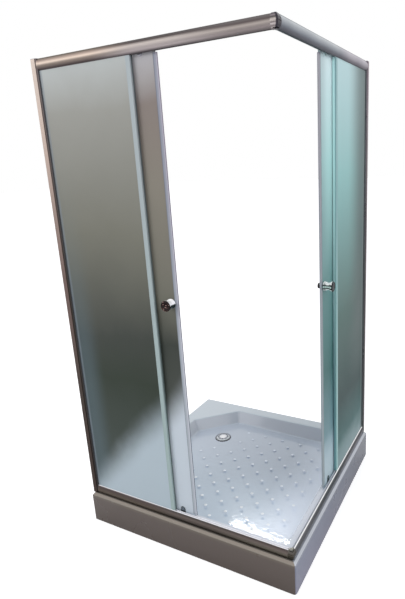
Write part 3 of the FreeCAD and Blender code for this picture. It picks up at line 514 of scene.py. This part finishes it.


# clip-on seals: stops across the doors' seals run from the edge, and across the panes' from their outer face.
# Their bright stripes across are painted highlights
sealLooks = {
    "front_magnet_seal": {
        "across": "Along",
        "high": [(0.14, (110, 105, 120)), (0.24, (185, 180, 195)), (0.4, (150, 150, 165)),
                 (0.75, (140, 145, 160)), (1.0, (105, 105, 115))],
        "low": [(0.14, (95, 105, 120)), (0.24, (205, 210, 220)), (0.45, (175, 180, 190)),
                (0.8, (165, 175, 185)), (1.0, (120, 130, 140))],
    },
    "right_magnet_seal": {
        "across": "Along",
        "high": [(0.0, (150, 150, 160)), (0.5, (140, 140, 155)), (1.0, (110, 115, 125))],
        "low": [(0.0, (150, 160, 170)), (0.5, (145, 160, 165)), (1.0, (115, 130, 135))],
    },
    "front_fixed_seal": {
        "across": "Inward",
        "high": [(0.4, (165, 175, 180)), (0.55, (90, 100, 105)), (1.0, (100, 105, 110))],
        "low": [(0.4, (155, 175, 175)), (0.55, (85, 100, 100)), (1.0, (105, 120, 120))],
    },
    "right_fixed_seal": {
        "across": "Inward",
        "high": [(0.2, (130, 170, 175)), (0.4, (205, 245, 245))],
        "low": [(0.2, (155, 200, 200)), (0.4, (110, 155, 160)), (1.0, (105, 145, 155))],
    },
    "front_rear_seal": {
        "across": "Along",
        "high": [(0.0, (90, 95, 105)), (1.0, (65, 70, 80))],
        "low": [(0.0, (100, 110, 120)), (1.0, (65, 70, 80))],
    },
    "right_rear_seal": {
        "across": "Along",
        "high": [(0.0, (95, 110, 115)), (1.0, (70, 85, 90))],
        "low": [(0.0, (105, 120, 125)), (1.0, (70, 80, 90))],
    },
}
sealHeights = (0.45, 1.75)


def sealMaterial(name, look):
    side = name.split("_")[0]
    near, far = sideEnds(side, *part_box(name))[look["across"]]

    def build(tree):
        places = groupOutputs(tree, sidePlaces[side])
        across = fade(tree, places[look["across"]], near, far)
        upper, lower = (rampColor(tree, across, look[key]) for key in ("high", "low"))
        return mixColor(tree, softFade(tree, places["Height"], *sealHeights), lower, upper)

    return finishMaterial(name, build=build, rough=(0.3, 0.42), grain=(700.0, 0.08), Transmission_Weight=0.1)


for sealName, sealLook in sealLooks.items():
    dress(sealMaterial(sealName, sealLook), sealName)
print("seals finished")


# top corner joint: painted reflection stripes like the rail's on the front, and painted shade round the
# corner
jointLook = {
    "front": [(0.0, (85, 75, 80)), (0.1, (175, 165, 165)), (0.18, (120, 110, 110)), (0.3, (205, 195, 195)),
              (0.4, (125, 115, 115)), (0.5, (215, 205, 200)), (0.7, (75, 70, 70)), (0.82, (140, 130, 135)),
              (0.92, (70, 65, 70)), (1.0, (120, 115, 120))],
    "right": (50, 45, 55), "turnsAt": (-0.008, -0.005),
}


def topJointMaterial():
    low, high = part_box("top_corner_joint")

    def build(tree):
        height = splitAxes(tree, objectPlace(tree))[2]
        stripes = rampColor(tree, fade(tree, height, low.z, high.z), jointLook["front"])
        return tint(tree, turnsRight(tree, *jointLook["turnsAt"]), stripes, jointLook["right"])

    return finishMaterial("jointChrome", build=build, rough=(0.2, 0.3), grain=(900.0, 0.01), smudge=20.0,
                          Metallic=0.6)


# bottom corner joint: chrome in painted reflection, coloured by which way it faces, from down to up
footTones = [(0.0, (35, 30, 30)), (0.35, (50, 50, 40)), (0.5, (80, 75, 65)), (0.7, (90, 85, 80)),
             (1.0, (110, 110, 105))]


def bottomJointMaterial():
    def build(tree):
        return rampColor(tree, fade(tree, facingUp(tree), -1.0, 1.0), footTones)

    return finishMaterial("footChrome", build=build, rough=(0.06, 0.14), grain=(900.0, 0.01), smudge=20.0,
                          Metallic=1.0)


# waste: painted reflection in rings of light and dark by distance from its middle, with a painted shadow
# round its rim
wasteTones = [(0.0, (250, 250, 250)), (0.4, (235, 235, 240)), (0.52, (175, 180, 190)), (0.6, (120, 125, 130)),
              (0.7, (215, 220, 225)), (0.84, (195, 200, 205)), (0.93, (85, 85, 90)), (1.0, (70, 70, 80))]


def wasteMaterial():
    low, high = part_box("waste_flange")
    middle, radius = (low + high) / 2, (high.x - low.x) / 2

    def build(tree):
        place = splitAxes(tree, objectPlace(tree))
        shifts = [mathNode(tree, "SUBTRACT", place[axis], middle[axis]) for axis in (0, 1)]
        away = distance(tree, *shifts)
        return rampColor(tree, fade(tree, away, 0.0, radius), wasteTones)

    return finishMaterial("wasteChrome", build=build, rough=(0.16, 0.24), grain=(900.0, 0.01), smudge=20.0,
                          Metallic=0.35)


dress(topJointMaterial(), "top_corner_joint")
dress(bottomJointMaterial(), "bottom_corner_joint")
dress(wasteMaterial(), "waste_flange", "waste_cover")

# clamp caps: below, painted shade round the edge and at the foot, paler in the middle; above, close to the
# tone of the glass
capLooks = {
    "front": {"edge": (60, 70, 70), "middle": (120, 130, 140), "foot": (40, 50, 50),
              "above": (165, 165, 175)},
    "right": {"edge": (35, 50, 55), "middle": (85, 110, 110), "foot": (25, 40, 40),
              "above": (205, 230, 230)},
}
capShape = {"radius": 0.011, "roundFrom": 0.015, "edgeReach": (0.006, 0.0115), "footReach": (0.01, 0.004),
            "aboveHeights": (1.0, 1.1)}


def capMaterial(side, look):
    low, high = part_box(side + "_roller_caps")
    first, last = sideEnds(side, low, high)["Along"]
    middles = first + capShape["radius"], last - capShape["radius"]

    def build(tree):
        places = groupOutputs(tree, sidePlaces[side])
        height = places["Height"]
        offsets = [mathNode(tree, "ABSOLUTE", mathNode(tree, "SUBTRACT", places["Along"], middle))
                   for middle in middles]
        across = mathNode(tree, "MINIMUM", *offsets)
        above = mathNode(tree, "SUBTRACT", height, low.z + capShape["roundFrom"])
        above = mathNode(tree, "MAXIMUM", above, 0.0)
        rounded = softFade(tree, distance(tree, across, above), *capShape["edgeReach"])
        color = tint(tree, rounded, paint(*look["middle"]), look["edge"])
        atFoot = fade(tree, height, *(low.z + rise for rise in capShape["footReach"]))
        color = tint(tree, atFoot, color, look["foot"])
        return tint(tree, fade(tree, height, *capShape["aboveHeights"]), color, look["above"])

    return finishMaterial(side + "Cap", build=build, rough=(0.2, 0.3), grain=(900.0, 0.02), smudge=20.0,
                          Metallic=0.6)


for side, capLook in capLooks.items():
    dress(capMaterial(side, capLook), side + "_roller_caps")

# the rest, each in its own plain colour with grain and smudges
plainLooks = {
    "baseBoard": {"color": (176, 148, 110), "rough": (0.6, 0.75), "grain": (260.0, 0.5),
                  "nodes": ["tray_base_board"]},
    "springSteel": {"color": (168, 170, 174), "rough": (0.3, 0.4), "Metallic": 0.9, "nodes": ["apron_clips"]},
    "supportTube": {"color": (176, 180, 184), "rough": (0.35, 0.5), "grain": (120.0, 0.2), "Metallic": 0.7,
                    "nodes": ["tray_support_bars"]},
    "platedSteel": {"color": (190, 190, 186), "rough": (0.25, 0.35), "Metallic": 0.9,
                    "nodes": ["foot_studs", "foot_nuts", "frame_screws"]},
    "footPlastic": {"color": (52, 52, 56), "rough": (0.45, 0.6), "grain": (900.0, 0.25),
                    "nodes": ["foot_pads"]},
    "trapPlastic": {"color": (224, 224, 220), "rough": (0.3, 0.45), "nodes": ["waste_trap"]},
    "rubberSeal": {"color": (52, 52, 54), "rough": (0.6, 0.75), "grain": (900.0, 0.3),
                   "nodes": ["waste_gasket", "rail_bump_stops"]},
    "glazingRubber": {"color": (70, 72, 78), "rough": (0.5, 0.65), "grain": (900.0, 0.2),
                      "nodes": ["front_glazing_gaskets", "right_glazing_gaskets"]},
    "capPlastic": {"color": (176, 170, 174), "rough": (0.25, 0.35), "nodes": ["channel_caps"]},
    "rollerBody": {"color": (128, 132, 140), "rough": (0.3, 0.45),
                   "nodes": [side + part for side in sides for part in ("_top_hangers", "_bottom_housings")]},
    "releasePlastic": {"color": (104, 108, 116), "rough": (0.35, 0.5),
                       "nodes": [name for name in nodes if "_release_" in name]},
    "wheelPlastic": {"color": (226, 226, 220), "rough": (0.4, 0.5),
                     "nodes": [name for name in nodes if "_wheel_" in name]},
}
for plainName, plainLook in plainLooks.items():
    settings = {key: value for key, value in plainLook.items() if key != "nodes"}
    dress(finishMaterial(plainName, **settings), *plainLook["nodes"])
print("hardware finished")


# the frame's nodes are loose flat triangles: welded, split at real edges and shaded smooth between them
smoothLook = {
    "nodes": [*railLooks, "tray_shell", "tray_apron", "top_corner_joint", "bottom_corner_joint",
              "waste_flange", "channel_caps", "waste_trap", "foot_pads", "front_roller_caps",
              "right_roller_caps"],
    "weld": 0.00001, "edgeAngle": 0.6,
}
for name in smoothLook["nodes"]:
    modifiers = nodes[name].modifiers
    modifiers.new("weld", "WELD").merge_threshold = smoothLook["weld"]
    modifiers.new("realEdges", "EDGE_SPLIT").split_angle = smoothLook["edgeAngle"]
    modifiers.new("evenShading", "WEIGHTED_NORMAL").keep_sharp = True
print("frame nodes smoothed")


def meshPiece(name, points, faces, material, body, slotName, *replaced):
    mesh = bpy.data.meshes.new(name)
    mesh.from_pydata(points.tolist(), [], faces)
    mesh.polygons.foreach_set("use_smooth", np.ones(len(mesh.polygons), bool))
    mesh.materials.append(material)
    mesh.update()
    piece = bpy.data.objects.new(name, mesh)
    bpy.context.scene.collection.objects.link(piece)
    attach(piece, body)
    if replaced:
        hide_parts(*replaced)


# rounds a profile by cutting each corner at a quarter and three quarters, a few times over
def roundedProfile(points, rounds=3):
    points = np.array(points, float)
    for _ in range(rounds):
        near = 0.75 * points[:-1] + 0.25 * points[1:]
        far = 0.25 * points[:-1] + 0.75 * points[1:]
        cut = np.stack([near, far], 1).reshape(-1, 2)
        points = np.concatenate([points[:1], cut[1:-1], points[-1:]])
    return points


# closed surface of revolution: each profile radius is carried round the axis at its height, and the
# two profile ends on the axis become poles
def turnedSurface(profile, segments):
    radius, height = profile[1:-1].T
    angle = np.linspace(0, 2 * np.pi, segments, endpoint=False)
    heights = np.repeat(height[:, None], segments, 1)
    rings = np.stack([radius[:, None] * np.cos(angle), radius[:, None] * np.sin(angle), heights], -1)
    firstPole, lastPole = ([[0, 0, end]] for end in profile[[0, -1], 1])
    points = np.concatenate([firstPole, rings.reshape(-1, 3), lastPole])
    row, column = np.meshgrid(np.arange(len(radius) - 1), np.arange(segments), indexing="ij")
    ahead = (column + 1) % segments
    start = 1 + row * segments
    quads = np.stack([start + column, start + ahead, start + segments + ahead, start + segments + column], -1)
    around = np.arange(segments)
    onward = (around + 1) % segments
    last = 1 + (len(radius) - 1) * segments
    firstFan = np.stack([np.zeros(segments, int), 1 + onward, 1 + around], -1)
    lastFan = np.stack([np.full(segments, len(points) - 1), last + around, last + onward], -1)
    return points, firstFan.tolist() + quads.reshape(-1, 4).tolist() + lastFan.tolist()


# knobs: turned spools. A profile is radius and height, as shares of the widest radius and of the length, and
# the outer one has a stepped foot, a hollow waist and a dished face. A knob's sides are painted reflection,
# coloured by which way they face, from down to up, and its face painted reflection in blotches of what it
# mirrors
knobLook = {
    "outer": [(0.0, 0.0), (0.65, 0.0), (0.65, 0.06), (0.9, 0.065), (0.92, 0.1), (0.91, 0.17), (0.76, 0.2),
              (0.75, 0.24), (0.86, 0.27), (0.86, 0.33), (0.74, 0.36), (0.73, 0.46), (0.76, 0.6), (0.84, 0.7),
              (0.96, 0.77), (1.0, 0.82), (1.0, 0.93), (0.94, 0.985), (0.84, 0.98), (0.78, 0.95), (0.4, 0.97),
              (0.0, 0.975)],
    "inner": [(0.0, 0.0), (0.99, 0.0), (0.99, 0.22), (0.9, 0.3), (0.76, 0.36), (0.74, 0.5), (0.8, 0.62),
              (0.88, 0.72), (0.88, 0.93), (0.8, 0.99), (0.5, 0.99), (0.0, 0.99)],
    "outerRadius": 0.0205, "innerRadius": 0.0125, "segments": 96,
    "faceDepths": (0.0056, 0.004), "blotchScale": 110.0,
}
knobTones = {
    "front": {
        "body": [(0.0, (200, 210, 215)), (0.1, (150, 165, 170)), (0.2, (30, 50, 50)), (0.42, (10, 20, 20)),
                 (0.5, (60, 75, 75)), (0.55, (250, 250, 255)), (1.0, (255, 255, 255))],
        "face": [(0.3, (15, 10, 5)), (0.57, (30, 15, 15)), (0.64, (70, 40, 35)), (0.7, (215, 185, 180))],
    },
    "right": {
        "body": [(0.0, (40, 55, 55)), (0.08, (205, 230, 230)), (0.22, (245, 255, 255)), (0.28, (10, 20, 25)),
                 (0.38, (10, 25, 25)), (0.42, (160, 185, 180)), (0.56, (180, 205, 200)), (0.62, (10, 35, 35)),
                 (0.72, (10, 40, 40)), (0.77, (250, 255, 255))],
        "face": [(0.3, (5, 15, 15)), (0.6, (15, 25, 30)), (0.7, (50, 65, 65))],
    },
    "inner": {
        "body": [(0.0, (25, 25, 25)), (0.5, (40, 35, 35)), (0.8, (85, 80, 80)), (0.88, (200, 205, 205)),
                 (0.95, (65, 60, 65)), (1.0, (55, 50, 55))],
        "face": [(0.3, (15, 10, 10)), (0.6, (30, 25, 25)), (0.7, (60, 55, 55))],
    },
}


def knobMaterial(name, axis, face, inwards, tones):
    def build(tree):
        place = objectPlace(tree)
        inputs = {"Vector": place, "Scale": knobLook["blotchScale"], "Detail": 1.0}
        blotches = addNode(tree, "ShaderNodeTexNoise", inputs).outputs["Fac"]
        body = rampColor(tree, fade(tree, facingUp(tree), -1.0, 1.0), tones["body"])
        start, end = (face + inwards * depth for depth in knobLook["faceDepths"])
        onFace = fade(tree, splitAxes(tree, place)[axis], start, end)
        return mixColor(tree, onFace, body, rampColor(tree, blotches, tones["face"]))

    return finishMaterial(name + "Chrome", build=build, rough=(0.1, 0.18), grain=(900.0, 0.01), smudge=20.0,
                          Metallic=0.2, Specular_IOR_Level=0.2)


# a knob is turned about z and then faced along its side's axis, outwards or inwards, from the pane's face
def addKnob(side, place):
    node = side + "_" + place + "_knob"
    low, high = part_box(node)
    glassLow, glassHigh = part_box(side + "_door_glass")
    axis = 1 if side == "front" else 0
    pointsDown = (side == "front") == (place == "outer")
    foot, face = (glassLow[axis], low[axis]) if pointsDown else (glassHigh[axis], high[axis])
    center = (low + high) / 2
    center[axis] = foot
    direction = Vector((0, 0, 0))
    direction[axis] = -1 if pointsDown else 1
    profile = roundedProfile(knobLook[place]) * (knobLook[place + "Radius"], abs(face - foot))
    points, faces = turnedSurface(profile, knobLook["segments"])
    turn = np.array(direction.to_track_quat("Z", "X").to_matrix())
    points = points @ turn.T + np.array(center)
    name = side + place.title()
    tones = knobTones[side if place == "outer" else "inner"]
    material = knobMaterial(name, axis, face, -direction[axis], tones)
    dress(material, node)
    meshPiece(name + "Knob", points, faces, material, side + "_door", "knob_chrome", node)


for side in sides:
    for place in ("outer", "inner"):
        addKnob(side, place)
print("knobs turned")


# tray floor: staggered low domes, in rows square to the sides, kept clear of the waste
bumpLook = {
    "first": (-0.385, -0.3475), "step": 0.052, "rows": 24, "radius": 0.0074, "height": 0.0009, "round": 1.3,
    "rings": (1.0, 0.86, 0.66, 0.4, 0.18), "segments": 18, "sunk": 0.0001, "wasteClear": 0.1,
    "xReach": (-0.32, 0.365), "yReach": (-0.36, 0.35), "cornerCut": 0.47,
    "floorDepth": 0.062, "floorSlope": 0.01,
    "near": (245, 250, 255), "far": (220, 230, 245), "farReach": (0.2, 0.75),
    "side": (215, 225, 245), "topFacing": (0.965, 0.99),
}
gasketLow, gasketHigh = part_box("waste_gasket")
wasteMiddle = (gasketLow + gasketHigh) / 2


# the floor rises away from the waste along the tray's diagonal
def floorHeight(x, y):
    away = ((x - wasteMiddle.x) - (y - wasteMiddle.y)) * np.sqrt(0.5)
    return trayHigh.z - bumpLook["floorDepth"] + bumpLook["floorSlope"] * away


# the domes' tops are a painted highlight, whitest near the front and less white towards the back, over sides
# in the floor's tone
def bumpMaterial():
    def build(tree):
        inward = groupOutputs(tree, sidePlaces["front"])["Inward"]
        top = tint(tree, fade(tree, inward, *bumpLook["farReach"]), paint(*bumpLook["near"]), bumpLook["far"])
        isTop = softFade(tree, facingUp(tree), *bumpLook["topFacing"])
        return mixColor(tree, isTop, paint(*bumpLook["side"]), top)

    return finishMaterial("bumpAcrylic", build=build, rough=(0.1, 0.18), grain=(300.0, 0.04),
                          Coat_Weight=0.6, Coat_Roughness=0.06)


# each dome is rings over the sloping floor, lifted by height * (1 - (distance / radius) squared) ** round
def addFloorBumps(look):
    column, row = np.meshgrid(np.arange(look["rows"]), np.arange(look["rows"]), indexing="ij")
    x = look["first"][0] + look["step"] * column
    y = look["first"][1] + look["step"] * row
    keep = ((column + row) % 2 == 0) & (y - x < look["cornerCut"])
    for values, (least, most) in ((x, look["xReach"]), (y, look["yReach"])):
        keep &= (values > least) & (values < most)
    keep &= np.hypot(x - wasteMiddle.x, y - wasteMiddle.y) > look["wasteClear"]
    x, y = x[keep], y[keep]
    segments, ringCount = look["segments"], len(look["rings"])
    angle = np.linspace(0, 2 * np.pi, segments, endpoint=False)
    reach = np.array(look["rings"])[:, None]
    px = x[:, None, None] + look["radius"] * reach * np.cos(angle)
    py = y[:, None, None] + look["radius"] * reach * np.sin(angle)
    pz = floorHeight(px, py) + look["height"] * (1 - reach ** 2) ** look["round"] - look["sunk"]
    rings = np.stack([px, py, pz], -1).reshape(len(x), -1, 3)
    tops = np.stack([x, y, floorHeight(x, y) + look["height"]], -1)[:, None]
    points = np.concatenate([rings, tops], 1)
    perDome = points.shape[1]
    band, spot = np.meshgrid(np.arange(ringCount - 1), np.arange(segments), indexing="ij")
    ahead = (spot + 1) % segments
    quads = np.stack([band * segments + spot, band * segments + ahead, (band + 1) * segments + ahead,
                      (band + 1) * segments + spot], -1).reshape(-1, 4)
    around = np.arange(segments)
    inner = (ringCount - 1) * segments
    fans = np.stack([inner + around, inner + (around + 1) % segments, np.full(segments, perDome - 1)], -1)
    shift = (np.arange(len(x)) * perDome)[:, None, None]
    faces = (quads + shift).reshape(-1, 4).tolist() + (fans + shift).reshape(-1, 3).tolist()
    meshPiece("trayFloorBumps", points.reshape(-1, 3), faces, bumpMaterial(), "enclosure", "tray_acrylic")
    return len(x)


print("floor bumps:", addFloorBumps(bumpLook))


# camera and stage
cameraLook = {
    "position": (1.102, -1.878, 1.588), "right": (0.88547477, 0.46219997, -0.04801685),
    "down": (0.07854613, -0.25071527, -0.96486909), "forward": (-0.45800102, 0.8505957, -0.25830607),
    "lens": 29.94, "sensor": 36, "shift": (-0.0758, -0.0142),
}


def addCamera():
    data = bpy.data.cameras.new("camera")
    data.lens = cameraLook["lens"]
    data.sensor_width = cameraLook["sensor"]
    data.shift_x, data.shift_y = cameraLook["shift"]
    camera = bpy.data.objects.new("camera", data)
    right, down, forward = (Vector(cameraLook[key]) for key in ("right", "down", "forward"))
    turn = Matrix((right, -down, -forward)).transposed().to_4x4()
    camera.matrix_world = Matrix.Translation(cameraLook["position"]) @ turn
    bpy.context.scene.collection.objects.link(camera)
    bpy.context.scene.camera = camera


lightLook = {
    "floorSize": 30.0, "floorColors": ((236, 236, 238), (240, 240, 242)), "floorGlow": 0.5,
    "skyStrength": 0.7,
    "lamps": {
        "lampLeft": {"at": (-2.4, -3.6, 3.2), "aim": (0, 0, 0.9), "size": (2.2, 2.2), "power": 78,
                     "mirrored": False},
        "lampRight": {"at": (3.4, -1.2, 3.0), "aim": (0, 0, 0.9), "size": (3.0, 3.0), "power": 44,
                      "mirrored": False},
        "lampBack": {"at": (-1.274, 2.602, 3.09), "aim": (0.310, -0.384, 0.083), "size": (0.74, 0.05),
                     "power": 4.5, "mirrored": True, "along": (0.848, 0.331, 0.413)},
    },
}


# the floor glows a little towards the camera, so that it reads as white and keeps the shadow
def addFloor():
    size = lightLook["floorSize"]
    points = [(-size, -size, 0), (size, -size, 0), (size, size, 0), (-size, size, 0)]
    mesh = bpy.data.meshes.new("floor")
    mesh.from_pydata(points, [], [(0, 1, 2, 3)])

    def build(tree):
        life = groupOutputs(tree, surfaceLife)
        return mixColor(tree, life["Smudge"], *(paint(*color) for color in lightLook["floorColors"]))

    material = finishMaterial("floor", build=build, rough=(0.6, 0.7), grain=(40.0, 0.02))
    tree = material.node_tree
    seen = addNode(tree, "ShaderNodeLightPath").outputs["Is Camera Ray"]
    glow = mathNode(tree, "MULTIPLY", seen, lightLook["floorGlow"])
    shader = tree.nodes["Principled BSDF"]
    shader.inputs["Emission Color"].default_value = (1, 1, 1, 1)
    tree.links.new(glow, shader.inputs["Emission Strength"])
    mesh.materials.append(material)
    floor = bpy.data.objects.new("floor", mesh)
    bpy.context.scene.collection.objects.link(floor)


def addLamps():
    for name, lamp in lightLook["lamps"].items():
        data = bpy.data.lights.new(name, "AREA")
        data.shape = "RECTANGLE"
        data.size, data.size_y = lamp["size"]
        data.energy = lamp["power"]
        holder = bpy.data.objects.new(name, data)
        toward = (Vector(lamp["aim"]) - Vector(lamp["at"])).normalized()
        along = Vector(lamp.get("along", toward.cross(Vector((0, 0, 1)))))
        along = (along - along.dot(toward) * toward).normalized()
        turn = Matrix((along, along.cross(toward), -toward)).transposed().to_4x4()
        holder.matrix_world = Matrix.Translation(lamp["at"]) @ turn
        holder.visible_camera = False
        holder.visible_glossy = lamp["mirrored"]
        bpy.context.scene.collection.objects.link(holder)


# white to the camera, in mirrors and through glass, and a softer white as light
def setSky():
    world = bpy.data.worlds.new("sky")
    bpy.context.scene.world = world
    world.use_nodes = True
    tree = world.node_tree
    path = addNode(tree, "ShaderNodeLightPath").outputs
    seen = mathNode(tree, "MAXIMUM", path["Is Camera Ray"], path["Is Glossy Ray"])
    seen = mathNode(tree, "MAXIMUM", seen, path["Is Transmission Ray"])
    strength = fade(tree, seen, 0.0, 1.0)
    strength.node.inputs["To Min"].default_value = lightLook["skyStrength"]
    tree.nodes["Background"].inputs["Color"].default_value = (1, 1, 1, 1)
    tree.links.new(strength, tree.nodes["Background"].inputs["Strength"])


addCamera()
addFloor()
addLamps()
setSky()
bpy.context.scene.view_settings.view_transform = "Standard"
print("stage set")
